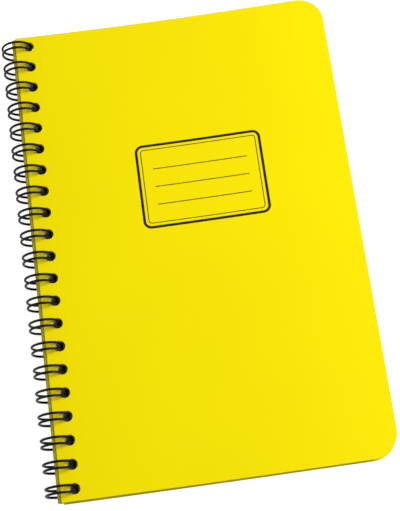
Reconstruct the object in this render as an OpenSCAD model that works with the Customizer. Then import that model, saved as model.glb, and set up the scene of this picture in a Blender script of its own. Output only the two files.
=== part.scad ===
// Closed notebook, bound along its left side with black twin loops, lying on a table.
// X runs from the loops to the fore edge, Y along the spine, Z up. Z = 0 is the table, and
// X = 0 and Y = 0 are the middle of the whole notebook with its loops.

/* [Covers and leaves] */
// Width of each cover, from its spine edge to its fore edge
cover_w = 117.5; // [90:0.5:220]
// Height of the covers and leaves, along the spine
cover_h = 177.8; // [100:0.1:300]
// Thickness of one plastic cover
cover_t = 0.55; // [0.3:0.05:0.7]
// Thickness of the pressed stack of leaves
leaves_t = 3.3; // [2:0.1:3.4]
// How far the leaves end short of the covers at the fore edge
leaves_setback = 0.8; // [0:0.1:3]
// How far the leaves end short of the covers at the head and at the tail
leaves_trim = 0.3; // [0:0.1:2]
// Radius of the two rounded corners at the fore edge
corner_r = 9.5; // [3:0.5:25]

/* [Binding holes] */
// Distance from one hole to the next, three holes to the inch
hole_pitch = 8.467; // [7.5:0.001:13]
// Diameter of a hole
hole_d = 3.9; // [3.8:0.05:4.4]
// Distance from the covers' spine edge to the line of holes
hole_inset = 4.87; // [4.75:0.01:5.2]

/* [Twin loops] */
// Diameter of the wire with its coating
wire_d = 0.9; // [0.6:0.05:0.95]
// Outer diameter of a closed loop
loop_d = 11.8; // [11.7:0.1:12.6]
// Distance between the two legs of one loop, middle to middle
leg_gap = 2.3; // [1.8:0.05:2.4]
// Radius of the bends where one loop turns into the next, on the middle of the wire
bend_r = 0.9; // [0.6:0.05:1.1]
// How much thicker the wire is in its tight bends, where bending squeezes it
bend_swell = 0.04; // [0.02:0.01:0.1]

/* [Lie of the stack] */
// Free space beside the wire where the loops close between the last leaf and the back cover
seam_clearance = 0.2; // [0.15:0.05:0.5]
// Clearance between a cover and the leaves it lies on
sheet_clearance = 0.1; // [0.05:0.01:0.2]
// How far the middle of the stack lies below the middle of the loops, at the holes
stack_drop = 0.75; // [0.65:0.01:0.85]
// How far the middle leaves reach past the spine edges of the covers
leaves_back_out = 1.5; // [0.2:0.1:2]
// Length over which the sheets bend down from the loops to the table
drape_len = 80; // [40:1:85]

/* [Hidden] */
YELLOW = [0.96, 0.88, 0.05];
PAPER = [0.84, 0.83, 0.72];
BLACK = [0.06, 0.06, 0.06];
wire_faces = 24;
loop_faces = 96;
bend_faces = 32;
hole_faces = 48;
corner_faces = 96;
drape_steps = 14;
back_steps = 12;
// How far a tool solid runs past what it cuts
overrun = 1;
hole_count = floor(cover_h / hole_pitch + 0.01);
hole_span = (hole_count - 1) * hole_pitch;
loop_r = (loop_d - wire_d) / 2;
seam_gap = wire_d + seam_clearance;

// Places along X. The loops meet the leaves in the middle of the loops' height, just past the
// middle of the holes, and meet the covers above and below it, just short of that middle.
wire_lead = 0.58;
axis_to_hole = loop_r - wire_lead;
loops_left = hole_inset - axis_to_hole - loop_d / 2;
spine_x = -(loops_left + cover_w) / 2;
fore_x = spine_x + cover_w;
hole_x = spine_x + hole_inset;
axis_x = hole_x - axis_to_hole;
drape_end = hole_x + drape_len;

// Heights at the line of holes. The loops and the flat of the back cover stand on the table.
axis_z = loop_d / 2;
stack_t = 2 * cover_t + leaves_t + sheet_clearance + seam_gap;
back_lift = axis_z - stack_drop - stack_t / 2;
leaves_lift = back_lift + seam_gap - sheet_clearance;

// Underside of each piece where it lies flat, and height of the seam over the middle of the loops
leaves_base = cover_t + sheet_clearance;
front_base = leaves_base + leaves_t + sheet_clearance;
seam_z = cover_t + back_lift + seam_gap / 2 - axis_z;

// Where the wire goes into its base bends, where the closed end of each loop begins, and where
// the two ends of the wire are cut, all on the middle of the wire
base_angle = asin(seam_z / norm([loop_r, bend_r])) - atan(bend_r / loop_r);
tip_angle = asin(seam_z / norm([loop_r, leg_gap / 2])) + atan(leg_gap / 2 / loop_r);
cut_angle = asin(seam_z / loop_r);
bend_d = wire_d + bend_swell;
// How far a stretch of wire runs on into the thicker bend that takes it up
wire_lap = 0.08;
lap_angle = atan(wire_lap / loop_r);

// Share of its full lift that a sheet has at x: a parabola that runs out flat on the table
function lift_share(x) = pow(max(0, (drape_end - x) / drape_len), 2);
function under_z(x, base, lift) = base + lift * lift_share(x);
// Points along X from a spine edge to a fore edge, close together where the sheet is bent
function stations(from, to) = concat(
    [for (i = [0 : drape_steps]) from + i * (drape_end - from) / drape_steps],
    [to]
);
function hole_y(i) = i * hole_pitch - hole_span / 2;

// Side outline of a sheet or stack: its underside out to the fore edge, and its top back again
function sheet_side(from, to, base, lift, thick) = let (xs = stations(from, to)) concat(
    [for (x = xs) [x, under_z(x, base, lift)]],
    [for (i = [len(xs) - 1 : -1 : 0]) [xs[i], under_z(xs[i], base, lift) + thick]]
);

// Turns a side outline up and stretches it along the spine
module along_spine(length) {
    rotate([90, 0, 0])
        linear_extrude(length, center = true)
            children();
}

// Plan outline with square corners at the spine and rounded corners at the fore edge
module plan(from, to, height, r) {
    translate([from, -height / 2])
        square([to - from - r, height]);
    translate([from, r - height / 2])
        square([to - from, height - 2 * r]);
    for (side = [-1, 1])
        translate([to - r, side * (height / 2 - r)])
            circle(r, $fn = corner_faces);
}

// Everything over the table that lies inside the plan outline
module plan_column(from, to, height, r) {
    linear_extrude(loop_d + overrun)
        plan(from, to, height, r);
}

// The row of round holes, through the whole stack
module hole_row() {
    for (i = [0 : hole_count - 1])
        translate([hole_x, hole_y(i), -overrun])
            cylinder(h = loop_d + 2 * overrun, d = hole_d, $fn = hole_faces);
}

// One plastic cover: a bent sheet, cut to its outline and punched
module cover(base, lift) {
    difference() {
        intersection() {
            along_spine(cover_h + 2 * overrun)
                polygon(sheet_side(spine_x, fore_x, base, lift, cover_t));
            plan_column(spine_x, fore_x, cover_h, corner_r);
        }
        hole_row();
    }
}

module front_cover() {
    color(YELLOW)
        cover(front_base, leaves_lift);
}

module back_cover() {
    color(YELLOW)
        cover(0, back_lift);
}

// Side outline of the leaves. At the spine their edges fan out round the middle of the stack, on
// half an ellipse from the top leaf to the bottom one.
leaves_back_z = under_z(spine_x, leaves_base, leaves_lift) + leaves_t / 2;
function leaves_side() = concat(
    sheet_side(spine_x, fore_x - leaves_setback, leaves_base, leaves_lift, leaves_t),
    [for (i = [1 : back_steps - 1])
        let (a = 90 + 180 * i / back_steps)
            [spine_x + leaves_back_out * cos(a), leaves_back_z + leaves_t / 2 * sin(a)]]
);

module page_block() {
    color(PAPER)
        difference() {
            intersection() {
                along_spine(cover_h)
                    polygon(leaves_side());
                plan_column(
                    spine_x - loop_d, fore_x - leaves_setback,
                    cover_h - 2 * leaves_trim, corner_r
                );
            }
            hole_row();
        }
}

// Puts children on the loops at an angle: X along the spine, Y on along the loop, Z outwards
module on_loop(angle) {
    translate([axis_x, 0, axis_z])
        rotate([0, -angle, 0])
            translate([loop_r, 0, 0])
                rotate([90, 0, 90])
                    children();
}

// A stretch of wire of diameter d bent to an arc of radius r in the XY plane
module wire_arc(r, angle, d, faces) {
    rotate_extrude(angle = angle, $fn = faces)
        translate([r, 0])
            circle(d = d, $fn = wire_faces);
}

// One leg of a loop, from the bend of the closed end round the outside to an angle on the loop
module leg(y, end_angle) {
    translate([axis_x, y, axis_z])
        rotate([90, 0, 0])
            rotate([0, 0, tip_angle - lap_angle])
                wire_arc(loop_r, 360 + end_angle - tip_angle + lap_angle, wire_d, loop_faces);
}

// Closed end of a loop: the bend that joins its two legs in the seam
module tip(y) {
    on_loop(tip_angle)
        translate([y, 0, 0])
            rotate([0, 0, 180])
                wire_arc(leg_gap / 2, 180, bend_d, bend_faces);
}

// Base between one loop and the next: a bend, a straight run along the spine, and a bend
module base_link(y, next_y) {
    on_loop(base_angle) {
        translate([y + bend_r, 0, 0])
            rotate([0, 0, 90])
                wire_arc(bend_r, 90, bend_d, bend_faces);
        translate([y + bend_r - wire_lap, bend_r, 0])
            rotate([0, 90, 0])
                cylinder(h = next_y - y - 2 * (bend_r - wire_lap), d = wire_d, $fn = wire_faces);
        translate([next_y - bend_r, 0, 0])
            wire_arc(bend_r, 90, bend_d, bend_faces);
    }
}

// Each loop has two legs. The first and the last leg of the row end where the wire is cut.
module twin_loop_wire() {
    color(BLACK) {
        for (i = [0 : hole_count - 1]) {
            leg(hole_y(i) - leg_gap / 2, i == 0 ? cut_angle : base_angle + lap_angle);
            leg(hole_y(i) + leg_gap / 2, i == hole_count - 1 ? cut_angle : base_angle + lap_angle);
            tip(hole_y(i));
        }
        for (i = [0 : hole_count - 2])
            base_link(hole_y(i) + leg_gap / 2, hole_y(i + 1) - leg_gap / 2);
    }
}

front_cover();
page_block();
back_cover();
twin_loop_wire();
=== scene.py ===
# %% [markdown]
# # A side-bound notebook
# The plain model of this notebook has four pieces: two plastic covers, the stack of leaves
# between them, and one long black wire bent to a row of twin loops. This lesson builds each of
# them again with softer edges, real leaves and real finishes, and then lights and frames them.

# %% Load the plain model
import math
import random

import bmesh
import bpy
from mathutils import Matrix, Vector


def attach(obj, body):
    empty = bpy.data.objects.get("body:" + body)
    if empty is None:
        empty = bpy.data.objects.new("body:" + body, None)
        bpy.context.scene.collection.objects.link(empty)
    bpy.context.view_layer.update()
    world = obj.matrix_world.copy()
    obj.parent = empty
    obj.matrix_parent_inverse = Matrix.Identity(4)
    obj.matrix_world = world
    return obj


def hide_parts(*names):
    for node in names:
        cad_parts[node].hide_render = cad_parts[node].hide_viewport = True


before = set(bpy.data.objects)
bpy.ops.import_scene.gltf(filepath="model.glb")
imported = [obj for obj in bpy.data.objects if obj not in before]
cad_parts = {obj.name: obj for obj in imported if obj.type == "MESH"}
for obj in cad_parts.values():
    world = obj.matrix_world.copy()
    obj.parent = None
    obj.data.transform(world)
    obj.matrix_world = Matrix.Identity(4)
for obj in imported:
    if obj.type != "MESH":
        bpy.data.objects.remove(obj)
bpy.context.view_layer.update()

# %% [markdown]
# ## Sizes
# Notebooks like this one are made to a trim size and to a pitch of the loops, here taken as three
# to the inch, so those are the numbers to start from. X runs from the loops to the fore edge, Y
# along the spine and Z up from the table. The rest follows from where the loops meet the sheets.

# %% Sizes, in metres
MM = 0.001
COVER_W, COVER_H, COVER_T = 117.5 * MM, 177.8 * MM, 0.55 * MM
LEAVES_T, LEAVES_SETBACK, LEAVES_TRIM = 3.3 * MM, 0.8 * MM, 0.3 * MM
CORNER_R = 9.5 * MM
HOLE_PITCH, HOLE_D, HOLE_INSET, HOLE_COUNT = 8.467 * MM, 3.9 * MM, 4.87 * MM, 21
WIRE_D, LOOP_D, LEG_GAP, BEND_R = 0.9 * MM, 11.8 * MM, 2.3 * MM, 0.9 * MM
SHEET_CLEARANCE, SEAM_GAP, STACK_DROP, DRAPE_LEN = 0.1 * MM, 1.1 * MM, 0.75 * MM, 80 * MM

LOOP_R = (LOOP_D - WIRE_D) / 2
WIRE_LEAD = 0.58 * MM
AXIS_TO_HOLE = LOOP_R - WIRE_LEAD
SPINE_X = -(HOLE_INSET - AXIS_TO_HOLE - LOOP_D / 2 + COVER_W) / 2
FORE_X = SPINE_X + COVER_W
HOLE_X = SPINE_X + HOLE_INSET
AXIS_X, AXIS_Z = HOLE_X - AXIS_TO_HOLE, LOOP_D / 2
DRAPE_END = HOLE_X + DRAPE_LEN
BACK_LIFT = AXIS_Z - STACK_DROP - (2 * COVER_T + LEAVES_T + SHEET_CLEARANCE + SEAM_GAP) / 2
LEAVES_LIFT = BACK_LIFT + SEAM_GAP - SHEET_CLEARANCE
LEAVES_BASE = COVER_T + SHEET_CLEARANCE
FRONT_BASE = LEAVES_BASE + LEAVES_T + SHEET_CLEARANCE
print("middle of the loops, mm: x %.2f, z %.2f" % (AXIS_X / MM, AXIS_Z / MM))


def hole_y(i):
    """Place along the spine of hole number i."""
    return (i - (HOLE_COUNT - 1) / 2) * HOLE_PITCH


def lifted(x, base, lift):
    """Height of a sheet's underside at x: raised by the loops, running out flat on the table."""
    return base + lift * max(0.0, (DRAPE_END - x) / DRAPE_LEN) ** 2


# %% [markdown]
# ## Camera
# The photograph looks down on the notebook from above its lower edge. A long lens keeps the
# covers' edges nearly parallel. The place and turn below were found by fitting the row of holes
# and the edges of the cover.

# %% Camera
deg = math.radians
CAMERA_AT = (15.71 * MM, -157.63 * MM, 471.86 * MM)
CAMERA_TURN = (deg(17.481), deg(4.014), deg(-7.608))
LENS, SENSOR_W, CLIP_START = 95.54, 36, 0.01
bpy.ops.object.camera_add(location=CAMERA_AT, rotation=CAMERA_TURN)
camera = bpy.context.object
camera.data.lens = LENS
camera.data.sensor_width = SENSOR_W
camera.data.clip_start = CLIP_START
bpy.context.scene.camera = camera
print("camera height above the table, mm: %.0f" % (camera.location.z / MM))

# %% [markdown]
# ## Working by hand, in code
# Blender's tools act on whatever is selected, and the plain model comes in selected. So every
# step begins by letting go of everything, and edges are picked by where they are.


# %% Helpers for selecting and finishing
def let_go():
    """Leaves edit mode and deselects every object."""
    if bpy.context.object and bpy.context.object.mode != "OBJECT":
        bpy.ops.object.mode_set(mode="OBJECT")
    bpy.ops.object.select_all(action="DESELECT")


def take(piece):
    """Makes one piece the selected and active one."""
    let_go()
    piece.select_set(True)
    bpy.context.view_layer.objects.active = piece


def apply_modifier(piece, kind, **settings):
    """Adds one modifier to a piece, sets it and applies it."""
    take(piece)
    modifier = piece.modifiers.new(kind.lower(), kind)
    for name, value in settings.items():
        setattr(modifier, name, value)
    bpy.ops.object.modifier_apply(modifier=modifier.name)


def name_piece(piece, name):
    piece.name = piece.data.name = name
    return piece


def pick_edges(test):
    """In edit mode, selects the edges whose two ends pass a test."""
    mesh = bmesh.from_edit_mesh(bpy.context.object.data)
    for edge in mesh.edges:
        edge.select_set(test(edge.verts[0].co, edge.verts[1].co))
    bmesh.update_edit_mesh(bpy.context.object.data)


def triangles(piece):
    return sum(len(face.vertices) - 2 for face in piece.data.polygons)


# %% [markdown]
# ## A punched sheet
# Covers and leaves are die-cut: a rectangle with two rounded corners at the fore edge and a row
# of round holes near the spine. A box is rounded at two of its upright edges and punched with a
# row of pins. Long strips are then cut across it, so that it can follow the bend of the stack.


# %% A flat sheet with rounded corners
def flat_sheet(name, x_low, x_high, height, thickness, corner_steps):
    let_go()
    bpy.ops.mesh.primitive_cube_add(
        size=1,
        location=((x_low + x_high) / 2, 0, thickness / 2),
        scale=(x_high - x_low, height, thickness),
    )
    bpy.ops.object.transform_apply(location=True, rotation=True, scale=True)
    sheet = name_piece(bpy.context.object, name)
    bpy.ops.object.mode_set(mode="EDIT")
    bpy.ops.mesh.select_mode(type="EDGE")
    bpy.ops.mesh.select_all(action="DESELECT")
    pick_edges(lambda a, b: min(a.x, b.x) > x_high - MM and abs(a.z - b.z) > thickness / 2)
    bpy.ops.mesh.bevel(offset=CORNER_R, segments=corner_steps, affect="EDGES")
    bpy.ops.object.mode_set(mode="OBJECT")
    return sheet


# %% The punch: one row of pins through a sheet
PIN_LENGTH = 10 * MM


def punch(sheet, sides):
    let_go()
    bpy.ops.mesh.primitive_cylinder_add(
        vertices=sides, radius=HOLE_D / 2, depth=PIN_LENGTH, location=(HOLE_X, hole_y(0), 0)
    )
    bpy.ops.object.transform_apply(location=True, rotation=True, scale=True)
    pins = bpy.context.object
    apply_modifier(
        pins,
        "ARRAY",
        count=HOLE_COUNT,
        use_relative_offset=False,
        use_constant_offset=True,
        constant_offset_displace=(0, HOLE_PITCH, 0),
    )
    apply_modifier(sheet, "BOOLEAN", operation="DIFFERENCE", solver="EXACT", object=pins)
    bpy.data.objects.remove(pins, do_unlink=True)


# %% The bend: strips across the sheet, lifted towards the loops
def bend_to_table(sheet, base, lift, strips):
    take(sheet)
    bpy.ops.object.mode_set(mode="EDIT")
    for i in range(1, strips + 1):
        x = SPINE_X + i * (DRAPE_END - SPINE_X) / strips
        bpy.ops.mesh.select_all(action="SELECT")
        bpy.ops.mesh.bisect(plane_co=(x, 0, 0), plane_no=(1, 0, 0))
    bpy.ops.object.mode_set(mode="OBJECT")
    for vertex in sheet.data.vertices:
        vertex.co.z += lifted(vertex.co.x, base, lift)


# %% [markdown]
# ## The covers
# Both covers are the same sheet of yellow plastic, half a millimetre thick, so the sheet is made
# once and copied. A cut edge in plastic is never knife sharp, and the small rounding along it is
# what catches the light in the photograph. Weighted normals keep the broad face even beside it.

# %% Make the cover sheet
CORNER_STEPS, HOLE_SIDES, STRIPS = 24, 40, 20
CUT_ROUNDING, SHARP_ANGLE = 0.12 * MM, 40
cover_sheet = flat_sheet("cover_sheet", SPINE_X, FORE_X, COVER_H, COVER_T, CORNER_STEPS)
punch(cover_sheet, HOLE_SIDES)
apply_modifier(
    cover_sheet,
    "BEVEL",
    width=CUT_ROUNDING,
    segments=3,
    limit_method="ANGLE",
    angle_limit=deg(SHARP_ANGLE),
    use_clamp_overlap=True,
)
print("cover sheet, triangles:", triangles(cover_sheet))


# %% Bend one copy for each cover
def finish_smooth(piece, angle):
    take(piece)
    bpy.ops.object.shade_smooth_by_angle(angle=deg(angle))
    apply_modifier(piece, "WEIGHTED_NORMAL", keep_sharp=True, weight=80)


def copy_of(piece, name):
    """A copy with a mesh of its own."""
    twin = piece.copy()
    twin.data = piece.data.copy()
    bpy.context.collection.objects.link(twin)
    return name_piece(twin, name)


front_sheet = copy_of(cover_sheet, "front_cover_sheet")
back_sheet = copy_of(cover_sheet, "back_cover_sheet")
bpy.data.objects.remove(cover_sheet, do_unlink=True)
bend_to_table(front_sheet, FRONT_BASE, LEAVES_LIFT, STRIPS)
bend_to_table(back_sheet, 0, BACK_LIFT, STRIPS)
for sheet in (front_sheet, back_sheet):
    finish_smooth(sheet, SHARP_ANGLE)
    print(sheet.name, "triangles:", triangles(sheet))

# %% [markdown]
# ## The leaves
# The stack could be one block with lines painted on its side, but then its edge would look
# printed. Here one leaf is cut, punched and bent, and copied for each leaf of the stack. Each
# copy is a hair out of place, as leaves are. At the spine the middle leaves reach a little past
# the covers, so the stack ends there in a rounded back.

# %% Make one leaf
LEAF_COUNT = 32
LEAF_PITCH = LEAVES_T / LEAF_COUNT
# Share of its pitch that a leaf takes up, and share that is free below it
LEAF_SHARE, FREE_SHARE = 0.8, 0.1
LEAF_CORNER_STEPS, LEAF_HOLE_SIDES, LEAF_STRIPS = 16, 24, 14
leaf = flat_sheet(
    "leaf",
    SPINE_X,
    FORE_X - LEAVES_SETBACK,
    COVER_H - 2 * LEAVES_TRIM,
    LEAF_SHARE * LEAF_PITCH,
    LEAF_CORNER_STEPS,
)
punch(leaf, LEAF_HOLE_SIDES)
bend_to_table(leaf, LEAVES_BASE, LEAVES_LIFT, LEAF_STRIPS)
print("one leaf, triangles:", triangles(leaf))

# %% Stack the leaves
BACK_OUT = 1.5 * MM
AT_SPINE = SPINE_X + 0.1 * MM
# Farthest slip of a leaf towards the spine and along it, in millimetres
SLIP_IN, SLIP_ALONG = 0.1, 0.08
deal = random.Random(7)
stack = []
for i in range(LEAF_COUNT):
    sheet = copy_of(leaf, "leaf_%02d" % i)
    rise = (i + FREE_SHARE) * LEAF_PITCH
    from_middle = 2 * (i + 0.5) / LEAF_COUNT - 1
    back_out = BACK_OUT * math.sqrt(1 - from_middle**2)
    slip = Vector((deal.uniform(-SLIP_IN, 0.0), deal.uniform(-SLIP_ALONG, SLIP_ALONG), 0)) * MM
    for vertex in sheet.data.vertices:
        if vertex.co.x < AT_SPINE:
            vertex.co.x -= back_out
        vertex.co += slip + Vector((0, 0, rise))
    stack.append(sheet)
bpy.data.objects.remove(leaf, do_unlink=True)
take(stack[0])
for sheet in stack:
    sheet.select_set(True)
bpy.ops.object.join()
leaves = name_piece(bpy.context.object, "stack_of_leaves")
take(leaves)
bpy.ops.object.shade_flat()
print("stack of leaves, triangles:", triangles(leaves))

# %% [markdown]
# ## The wire
# A twin-loop binding is one wire. It runs along the spine, turns up through a hole, goes round
# as one leg of a loop, turns back in a tight bend at the closed end, comes round as the second
# leg, and turns along the spine again. One such loop is drawn by spinning and extruding a ring,
# exactly in that order, and 21 copies joined end to end make the whole wire.

# %% Directions on the loop
SEAM_Z = COVER_T + BACK_LIFT + SEAM_GAP / 2 - AXIS_Z
BASE_ANGLE = math.asin(SEAM_Z / math.hypot(LOOP_R, BEND_R)) - math.atan(BEND_R / LOOP_R)
TIP_ANGLE = math.asin(SEAM_Z / math.hypot(LOOP_R, LEG_GAP / 2)) + math.atan(LEG_GAP / 2 / LOOP_R)
AXIS = Vector((AXIS_X, 0, AXIS_Z))


def outward(angle):
    return Vector((math.cos(angle), 0, math.sin(angle)))


def on_loop(angle, along, ahead):
    """A point at an angle on the loop: some way along the spine, and some way ahead on the loop."""
    onwards = Vector((-math.sin(angle), 0, math.cos(angle)))
    return AXIS + LOOP_R * outward(angle) + onwards * ahead + Vector((0, along, 0))


def ring_middle():
    """Middle of the selected ring of the wire."""
    mesh = bmesh.from_edit_mesh(bpy.context.object.data)
    ring = [vertex.co for vertex in mesh.verts if vertex.select]
    return sum(ring, Vector()) / len(ring)


# %% Draw one loop
RING_SIDES = 14
BASE_STEPS, LEG_STEPS, TIP_STEPS = 6, 66, 14
let_go()
bpy.ops.mesh.primitive_circle_add(
    vertices=RING_SIDES,
    radius=WIRE_D / 2,
    location=on_loop(BASE_ANGLE, -HOLE_PITCH / 2, BEND_R),
    rotation=(deg(90), 0, 0),
)
bpy.ops.object.transform_apply(location=True, rotation=True, scale=True)
loop = name_piece(bpy.context.object, "one_loop")
bpy.ops.object.mode_set(mode="EDIT")
bpy.ops.mesh.select_mode(type="EDGE")
bpy.ops.mesh.select_all(action="SELECT")


def bend(middle, axis, angle, steps, target):
    """Turns the ring about an axis by the right-hand rule, which Spin counts the other way."""
    bpy.ops.mesh.spin(steps=steps, angle=-angle, center=middle, axis=axis)
    print("bend ends %.4f mm off" % ((ring_middle() - target).length / MM))


def run_along(distance):
    bpy.ops.mesh.extrude_region_move(TRANSFORM_OT_translate={"value": (0, distance, 0)})


ROUND = 2 * math.pi + BASE_ANGLE - TIP_ANGLE
RUN = HOLE_PITCH / 2 - LEG_GAP / 2 - BEND_R
run_along(RUN)
bend(
    on_loop(BASE_ANGLE, -LEG_GAP / 2 - BEND_R, 0),
    outward(BASE_ANGLE),
    deg(-90),
    BASE_STEPS,
    on_loop(BASE_ANGLE, -LEG_GAP / 2, 0),
)
bend(AXIS, (0, 1, 0), ROUND, LEG_STEPS, on_loop(TIP_ANGLE, -LEG_GAP / 2, 0))
bend(
    on_loop(TIP_ANGLE, 0, 0),
    outward(TIP_ANGLE),
    deg(180),
    TIP_STEPS,
    on_loop(TIP_ANGLE, LEG_GAP / 2, 0),
)
bend(AXIS, (0, 1, 0), -ROUND, LEG_STEPS, on_loop(BASE_ANGLE, LEG_GAP / 2, 0))
bend(
    on_loop(BASE_ANGLE, LEG_GAP / 2 + BEND_R, 0),
    outward(BASE_ANGLE),
    deg(-90),
    BASE_STEPS,
    on_loop(BASE_ANGLE, LEG_GAP / 2 + BEND_R, BEND_R),
)
run_along(RUN)
bpy.ops.object.mode_set(mode="OBJECT")
print("one loop, triangles:", triangles(loop))

# %% Copy the loop along the spine and join the wire
WELD_WITHIN = 0.002 * MM
# The wire's two ends are cut a little before the end of a base bend
CUT_SHARE = 0.75
row = [copy_of(loop, "loop_%02d" % i) for i in range(HOLE_COUNT)]
for i, piece in enumerate(row):
    piece.data.transform(Matrix.Translation((0, hole_y(i), 0)))
bpy.data.objects.remove(loop, do_unlink=True)
take(row[0])
for piece in row:
    piece.select_set(True)
bpy.ops.object.join()
wire = name_piece(bpy.context.object, "black_wire")
bpy.ops.object.mode_set(mode="EDIT")
bpy.ops.mesh.select_all(action="SELECT")
bpy.ops.mesh.remove_doubles(threshold=WELD_WITHIN)
WIRE_END = -hole_y(0) + LEG_GAP / 2 + CUT_SHARE * BEND_R
for side in (-1, 1):
    bpy.ops.mesh.select_all(action="SELECT")
    bpy.ops.mesh.bisect(
        plane_co=(0, side * WIRE_END, 0), plane_no=(0, side, 0), use_fill=True, clear_outer=True
    )
bpy.ops.mesh.select_all(action="SELECT")
bpy.ops.mesh.normals_make_consistent(inside=False)
bpy.ops.object.mode_set(mode="OBJECT")
bpy.ops.object.shade_smooth_by_angle(angle=deg(50))
print("wire, triangles:", triangles(wire))

# %% [markdown]
# ## Finishes
# Three finishes make this object: yellow sheet plastic, black coated wire and paper. They are
# all built from noise on Object coordinates, so nothing slides when a cover is turned. The two
# effects that they share, a fine grain and a broad unevenness, are node groups.


# %% Helpers for node groups and materials
def new_group(name, inputs, outputs):
    group = bpy.data.node_groups.new(name, "ShaderNodeTree")
    for label, kind, value in inputs:
        socket = group.interface.new_socket(label, in_out="INPUT", socket_type=kind)
        if value is not None:
            socket.default_value = value
    for label, kind in outputs:
        group.interface.new_socket(label, in_out="OUTPUT", socket_type=kind)
    return group, group.nodes.new("NodeGroupInput"), group.nodes.new("NodeGroupOutput")


def add(tree, kind, settings=None, **inputs):
    """Adds a node with its own settings, and sets or links its inputs by name, or as i0, i1, i2."""
    node = tree.nodes.new(kind)
    for name, value in (settings or {}).items():
        setattr(node, name, value)
    for name, value in inputs.items():
        numbered = name[1:].isdigit()
        socket = node.inputs[int(name[1:]) if numbered else name.replace("_", " ")]
        if isinstance(value, bpy.types.NodeSocket):
            tree.links.new(value, socket)
        else:
            socket.default_value = value
    return node


def place(tree, group, **inputs):
    """Places a node group in a material with its own values."""
    return add(tree, "ShaderNodeGroup", {"node_tree": group}, **inputs)


def maths(tree, operation, a, b=0.0, c=0.0):
    return add(tree, "ShaderNodeMath", {"operation": operation}, i0=a, i1=b, i2=c).outputs[0]


def mixed_colour(tree, share, colour, other):
    """The first colour where the share is nought, and the other where it is one."""
    mix = add(tree, "ShaderNodeMix", {"data_type": "RGBA"}, i0=share, i6=colour, i7=other)
    return mix.outputs[2]


def object_spot(tree):
    """X, Y and Z on the piece itself, which turn with it."""
    where = add(tree, "ShaderNodeTexCoord")
    return add(tree, "ShaderNodeSeparateXYZ", Vector=where.outputs["Object"]).outputs


# %% [markdown]
# The grain of calendered plastic, of a dipped coating and of paper differ in size, not in kind:
# small soft hills without a direction. One group gives their height, and its Size is set for
# each material. The second group mixes two near colours in soft patches, and has a Size as well.

# %% Shared effects: fine grain and uneven colour
grain_group, g_in, g_out = new_group(
    "fine_grain",
    [("Size", "NodeSocketFloat", 0.0005), ("Roughness of grain", "NodeSocketFloat", 0.5)],
    [("Height", "NodeSocketFloat")],
)
where = add(grain_group, "ShaderNodeTexCoord")
per_metre = maths(grain_group, "DIVIDE", 1.0, g_in.outputs["Size"])
hills = add(
    grain_group,
    "ShaderNodeTexNoise",
    Vector=where.outputs["Object"],
    Scale=per_metre,
    Detail=3.0,
    Roughness=g_in.outputs["Roughness of grain"],
)
grain_group.links.new(hills.outputs[0], g_out.inputs["Height"])

uneven_group, u_in, u_out = new_group(
    "uneven_colour",
    [
        ("Colour", "NodeSocketColor", (1, 1, 1, 1)),
        ("Other colour", "NodeSocketColor", (1, 1, 1, 1)),
        ("Size", "NodeSocketFloat", 0.03),
    ],
    [("Colour", "NodeSocketColor"), ("Mask", "NodeSocketFloat")],
)
CLOUD_LOW, CLOUD_HIGH = 0.3, 0.7
where = add(uneven_group, "ShaderNodeTexCoord")
per_metre = maths(uneven_group, "DIVIDE", 1.0, u_in.outputs["Size"])
clouds = add(
    uneven_group,
    "ShaderNodeTexNoise",
    Vector=where.outputs["Object"],
    Scale=per_metre,
    Detail=2.0,
    Roughness=0.5,
)
spread = add(uneven_group, "ShaderNodeMapRange", i0=clouds.outputs[0], i1=CLOUD_LOW, i2=CLOUD_HIGH)
blended = mixed_colour(
    uneven_group, spread.outputs[0], u_in.outputs["Colour"], u_in.outputs["Other colour"]
)
uneven_group.links.new(blended, u_out.inputs["Colour"])
uneven_group.links.new(spread.outputs[0], u_out.inputs["Mask"])
print("groups:", [group.name for group in bpy.data.node_groups])

# %% [markdown]
# ### A ruled frame, printed on the front cover
# Covers like this one carry dark print. A plain frame with lines to write on stands there. It is
# drawn by distance: each point knows how far it is from the outline of a rounded box, and it is
# inked where that is less than half a line's width. Only the upper face is printed, so a point
# also has to lie above the middle of the sheet, which follows the bend.

# %% The printed frame as a mask
frame_group, _, f_out = new_group("ruled_frame", [], [("Ink", "NodeSocketFloat")])
FRAME_X, FRAME_Y = 7.5 * MM, 22 * MM
FRAME_W, FRAME_H, FRAME_R = 46 * MM, 32 * MM, 2.5 * MM
INNER_INSET, INNER_R = 1.6 * MM, 1.1 * MM
HALF_BAR, HALF_INNER_BAR = 0.5 * MM, 0.16 * MM
SIDE_ROOM = 11 * MM
LINE_W, LINE_H, LINE_R = FRAME_W - SIDE_ROOM, 0.34 * MM, 0.1 * MM
LINE_PITCH, LINES_DOWN = 7 * MM, 0.4 * MM
SOFT_EDGE = 0.06 * MM


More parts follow.
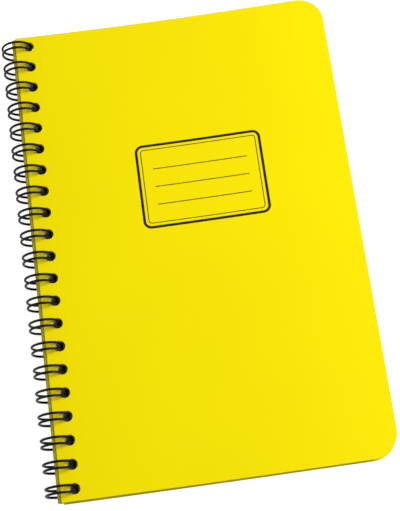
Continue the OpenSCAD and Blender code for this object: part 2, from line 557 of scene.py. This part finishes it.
def box_distance(tree, width, height, radius, middle):
    """Distance outside a rounded box in the XY plane, negative inside it."""
    where = add(tree, "ShaderNodeTexCoord")
    shifted = add(
        tree,
        "ShaderNodeVectorMath",
        {"operation": "SUBTRACT"},
        i0=where.outputs["Object"],
        i1=(middle[0], middle[1], 0),
    )
    folded = add(tree, "ShaderNodeVectorMath", {"operation": "ABSOLUTE"}, i0=shifted.outputs[0])
    half = (width / 2 - radius, height / 2 - radius, 1)
    past = add(
        tree, "ShaderNodeVectorMath", {"operation": "SUBTRACT"}, i0=folded.outputs[0], i1=half
    )
    parts = add(tree, "ShaderNodeSeparateXYZ", Vector=past.outputs[0])
    inside = maths(tree, "MINIMUM", maths(tree, "MAXIMUM", parts.outputs[0], parts.outputs[1]))
    outside = add(tree, "ShaderNodeVectorMath", {"operation": "MAXIMUM"}, i0=past.outputs[0])
    flat = add(
        tree, "ShaderNodeVectorMath", {"operation": "MULTIPLY"}, i0=outside.outputs[0], i1=(1, 1, 0)
    )
    length = add(tree, "ShaderNodeVectorMath", {"operation": "LENGTH"}, i0=flat.outputs[0])
    return maths(tree, "SUBTRACT", maths(tree, "ADD", length.outputs["Value"], inside), radius)


def outline_distance(tree, fore_x, height):
    """Distance outside the outline of a sheet: square at the spine, rounded at the fore edge."""
    left = SPINE_X - 2 * CORNER_R
    rounded = box_distance(tree, fore_x - left, height, CORNER_R, ((fore_x + left) / 2, 0))
    return maths(tree, "MAXIMUM", rounded, maths(tree, "SUBTRACT", SPINE_X, object_spot(tree)[0]))


def inked(tree, distance, half_width):
    """1 within half a line's width of a distance of nought, with a soft edge."""
    off = maths(tree, "ABSOLUTE", distance)
    low, high = half_width - SOFT_EDGE, half_width + SOFT_EDGE
    return add(tree, "ShaderNodeMapRange", i0=off, i1=high, i2=low).outputs[0]


middle = (FRAME_X, FRAME_Y)
outer = box_distance(frame_group, FRAME_W, FRAME_H, FRAME_R, middle)
inner_w, inner_h = FRAME_W - 2 * INNER_INSET, FRAME_H - 2 * INNER_INSET
inner = box_distance(frame_group, inner_w, inner_h, INNER_R, middle)
ink = inked(frame_group, outer, HALF_BAR)
ink = maths(frame_group, "MAXIMUM", ink, inked(frame_group, inner, HALF_INNER_BAR))
for row in (1, 0, -1):
    line_y = FRAME_Y - LINES_DOWN + row * LINE_PITCH
    line = box_distance(frame_group, LINE_W, LINE_H, LINE_R, (FRAME_X, line_y))
    solid = add(frame_group, "ShaderNodeMapRange", i0=line, i1=SOFT_EDGE, i2=-SOFT_EDGE)
    ink = maths(frame_group, "MAXIMUM", ink, solid.outputs[0])
spot = object_spot(frame_group)
before_end = maths(frame_group, "MAXIMUM", maths(frame_group, "SUBTRACT", DRAPE_END, spot[0]))
share = maths(frame_group, "POWER", maths(frame_group, "DIVIDE", before_end, DRAPE_LEN), 2.0)
middle_z = maths(frame_group, "MULTIPLY_ADD", share, LEAVES_LIFT, FRONT_BASE + COVER_T / 2)
on_top = maths(frame_group, "GREATER_THAN", spot[2], middle_z)
frame_group.links.new(maths(frame_group, "MULTIPLY", ink, on_top), f_out.inputs["Ink"])
print("frame printed %.0f by %.0f mm" % (FRAME_W / MM, FRAME_H / MM))

# %% [markdown]
# ### Yellow plastic
# The covers are a dull, strong yellow with very little shine. A broad unevenness keeps the big
# plain face from looking computed, and a fine grain breaks up its reflections. The front cover
# is the same plastic with the ink laid over it: ink is darker and a little shinier.


# %% Make the yellow plastic
def principled(name, roughness, specular):
    material = bpy.data.materials.new(name)
    material.use_nodes = True
    shader = material.node_tree.nodes["Principled BSDF"]
    shader.inputs["Roughness"].default_value = roughness
    shader.inputs["Specular IOR Level"].default_value = specular
    return material, material.node_tree, shader


def give_grain(tree, shader, size, strength, depth):
    grain = place(tree, grain_group, Size=size)
    bump = add(tree, "ShaderNodeBump", Strength=strength, Distance=depth)
    tree.links.new(grain.outputs["Height"], bump.inputs["Height"])
    tree.links.new(bump.outputs["Normal"], shader.inputs["Normal"])


def uneven_roughness(tree, mask, low, high):
    rough = add(tree, "ShaderNodeMapRange", i0=mask, i1=0.0, i2=1.0, i3=low, i4=high)
    return rough.outputs[0]


YELLOW, OTHER_YELLOW = (0.9, 0.75, 0.0018, 1), (0.88, 0.732, 0.0018, 1)
INK, INK_SHINE = (0.022, 0.014, 0.006, 1), 0.08
WORN_LOW, WORN_HIGH, THINNEST_INK = 0.2, 0.42, 0.93
YELLOW_ROUGH = (0.42, 0.48)


def yellow_plastic(name, printed):
    material, tree, shader = principled(name, roughness=0.45, specular=0.03)
    plastic = place(tree, uneven_group, Colour=YELLOW, Other_colour=OTHER_YELLOW, Size=50 * MM)
    give_grain(tree, shader, size=0.4 * MM, strength=0.12, depth=0.02 * MM)
    colour = plastic.outputs["Colour"]
    rough = uneven_roughness(tree, plastic.outputs["Mask"], *YELLOW_ROUGH)
    if printed:
        worn = place(tree, grain_group, Size=0.25 * MM).outputs["Height"]
        laid = add(
            tree,
            "ShaderNodeMapRange",
            i0=worn,
            i1=WORN_LOW,
            i2=WORN_HIGH,
            i3=THINNEST_INK,
            i4=1.0,
        )
        print_mask = place(tree, frame_group).outputs["Ink"]
        covered = maths(tree, "MULTIPLY", print_mask, laid.outputs[0])
        colour = mixed_colour(tree, covered, colour, INK)
        rough = maths(tree, "SUBTRACT", rough, maths(tree, "MULTIPLY", covered, INK_SHINE))
    tree.links.new(colour, shader.inputs["Base Color"])
    tree.links.new(rough, shader.inputs["Roughness"])
    return material


cover_yellow = yellow_plastic("yellow_plastic", False)
printed_yellow = yellow_plastic("yellow_plastic_printed", True)

# %% [markdown]
# ### Paper
# The leaves are pale and dull, with fine rules to write on. Along the outline of the stack light
# gets lost between their cut edges, and what comes back has the yellow of the covers. That shade
# and yellow bounce light are painted: the paper is yellower in a thin line round the outline, by
# its distance from it.

# %% Make the paper
PAGE, OTHER_PAGE = (0.8, 0.78, 0.6, 1), (0.76, 0.74, 0.55, 1)
# Painted shade: yellow-olive for the shaded outer edges of the stack, lit only by the covers'
# yellow bounce
PAINTED_EDGE_SHADE, OTHER_PAINTED_EDGE_SHADE = (0.85, 0.76, 0.12, 1), (0.77, 0.68, 0.1, 1)
RULE = (0.42, 0.4, 0.3, 1)
RULE_PITCH, HALF_RULE = 6.35 * MM, 0.09 * MM
RULED_FROM, RULED_TO = HOLE_X + 7 * MM, FORE_X - 6 * MM
RULED_PITCHES = 25.2
RULED_H = RULED_PITCHES * RULE_PITCH
PAINTED_SHADE_DEPTH = 0.25 * MM

paper, tree, shader = principled("paper", roughness=0.85, specular=0.2)
page = place(tree, uneven_group, Colour=PAGE, Other_colour=OTHER_PAGE, Size=20 * MM)
ruled_middle = ((RULED_FROM + RULED_TO) / 2, 0)
ruled = box_distance(tree, RULED_TO - RULED_FROM, RULED_H, HALF_RULE, ruled_middle)
from_rule = maths(tree, "PINGPONG", object_spot(tree)[1], RULE_PITCH / 2)
rules = maths(tree, "MULTIPLY", maths(tree, "LESS_THAN", ruled), inked(tree, from_rule, HALF_RULE))
ruled_page = mixed_colour(tree, rules, page.outputs["Colour"], RULE)
# Painted shade: from half a millimetre inside the outline outwards, the page fades to the shaded
# edge colour
painted_edge_shade = place(tree, uneven_group, Colour=PAINTED_EDGE_SHADE, Other_colour=OTHER_PAINTED_EDGE_SHADE, Size=3 * MM)
outside = outline_distance(tree, FORE_X - LEAVES_SETBACK, COVER_H - 2 * LEAVES_TRIM)
painted_shade_band = add(tree, "ShaderNodeMapRange", i0=outside, i1=-2 * PAINTED_SHADE_DEPTH, i2=-PAINTED_SHADE_DEPTH)
page_and_painted_shade = mixed_colour(tree, painted_shade_band.outputs[0], ruled_page, painted_edge_shade.outputs["Colour"])
tree.links.new(page_and_painted_shade, shader.inputs["Base Color"])
give_grain(tree, shader, size=0.15 * MM, strength=0.3, depth=0.02 * MM)
print("rules on a page:", int(RULED_H / RULE_PITCH) + 1)

# %% [markdown]
# ### Coated wire
# The wire is dipped in a black coating, which is smooth but not a mirror, and has a faint
# orange-peel surface.

# %% Make the black coating
BLACK, OTHER_BLACK = (0.003, 0.003, 0.003, 1), (0.005, 0.004, 0.004, 1)
COATING_ROUGH = (0.3, 0.42)
coating, tree, shader = principled("black_coating", roughness=0.4, specular=0.1)
colour = place(tree, uneven_group, Colour=BLACK, Other_colour=OTHER_BLACK, Size=2 * MM)
tree.links.new(colour.outputs["Colour"], shader.inputs["Base Color"])
rough = uneven_roughness(tree, colour.outputs["Mask"], *COATING_ROUGH)
tree.links.new(rough, shader.inputs["Roughness"])
give_grain(tree, shader, size=0.25 * MM, strength=0.2, depth=0.01 * MM)
print("materials:", [material.name for material in (cover_yellow, printed_yellow, paper, coating)])


# %% Dress the pieces and hang them on the moving bodies
def dress(piece, material, body, node):
    piece.data.materials.clear()
    piece.data.materials.append(material)
    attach(piece, body)
    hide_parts(node)


dress(front_sheet, printed_yellow, "front", "front_cover")
dress(back_sheet, cover_yellow, "bound_back", "back_cover")
dress(leaves, paper, "leaves", "page_block")
dress(wire, coating, "bound_back", "twin_loop_wire")

# %% [markdown]
# ## Floor, backdrop and light
# The photograph is a cut-out on white. The floor looks white to the camera and in reflections,
# by way of Light Path, and is a plain grey to the light that bounces, so the shaded edges of the
# stack stay as dark as in the photograph. It keeps a faint shadow. Under the notebook its glow
# fades out, so that nothing shines up through the holes.

# %% Floor
FLOOR_SIZE, FLOOR_Z = 6, -0.02 * MM
FADE_FROM, FADE_TO = -2.5 * MM, -0.5 * MM
GLOW, DULL, LIT = 0.8, 0.3, 0.8


def seen_by_eye(tree):
    """1 for what the camera sees, directly or in a reflection, and 0 for bounced light."""
    path = add(tree, "ShaderNodeLightPath")
    seen = maths(tree, "MAXIMUM", path.outputs["Is Camera Ray"], path.outputs["Is Glossy Ray"])
    return maths(tree, "MAXIMUM", seen, path.outputs["Is Transmission Ray"])


let_go()
bpy.ops.mesh.primitive_plane_add(size=FLOOR_SIZE, location=(0, 0, FLOOR_Z))
floor = name_piece(bpy.context.object, "floor")
pale = bpy.data.materials.new("pale_floor")
pale.use_nodes = True
tree = pale.node_tree
tree.nodes.remove(tree.nodes["Principled BSDF"])
outside = outline_distance(tree, FORE_X, COVER_H)
glowing = add(tree, "ShaderNodeMapRange", i0=outside, i1=FADE_FROM, i2=FADE_TO, i3=0.0, i4=GLOW)
glow = add(tree, "ShaderNodeEmission", Strength=glowing.outputs[0])
dull = add(tree, "ShaderNodeBsdfDiffuse", Color=(DULL, DULL, DULL, 1))
lit = add(tree, "ShaderNodeBsdfDiffuse", Color=(LIT, LIT, LIT, 1))
shown = add(tree, "ShaderNodeAddShader", i0=lit.outputs[0], i1=glow.outputs[0])
either = add(
    tree,
    "ShaderNodeMixShader",
    i0=seen_by_eye(tree),
    i1=dull.outputs[0],
    i2=shown.outputs[0],
)
tree.links.new(either.outputs[0], tree.nodes["Material Output"].inputs["Surface"])
floor.data.materials.append(pale)
print("floor, m:", FLOOR_SIZE)

# %% Room
ROOM_LIGHT = 0.25
world = bpy.data.worlds.new("studio")
bpy.context.scene.world = world
world.use_nodes = True
tree = world.node_tree
background = tree.nodes["Background"]
background.inputs["Color"].default_value = (1, 1, 1, 1)
level = maths(tree, "MAXIMUM", seen_by_eye(tree), ROOM_LIGHT)
tree.links.new(level, background.inputs["Strength"])
print("room light:", ROOM_LIGHT)

# %% [markdown]
# In the photograph the cover grows brighter towards the fore edge, the left walls of the holes
# are bright, and the near edge of the stack is in shade. So the main lamp stands to the right,
# fairly near. A faint one at the left keeps the spine from going dark.


# %% Lamps
def soft_lamp(name, location, width, height, watts, target):
    bpy.ops.object.light_add(type="AREA", location=location)
    lamp = bpy.context.object
    lamp.name = name
    lamp.data.shape = "RECTANGLE"
    lamp.data.size, lamp.data.size_y = width, height
    lamp.data.energy = watts
    aim = Vector(target) - lamp.location
    lamp.rotation_euler = aim.to_track_quat("-Z", "Y").to_euler()
    print("%s, m from its target: %.2f" % (name, aim.length))


soft_lamp(
    "soft_lamp",
    location=(0.52, 0.05, 0.47),
    width=0.5,
    height=0.4,
    watts=5.9,
    target=(0.02, 0, 0),
)
soft_lamp(
    "fill_lamp",
    location=(-0.6, 0.0, 0.3),
    width=0.6,
    height=0.4,
    watts=0.65,
    target=(-0.02, 0, 0),
)
bpy.context.scene.view_settings.view_transform = "Standard"
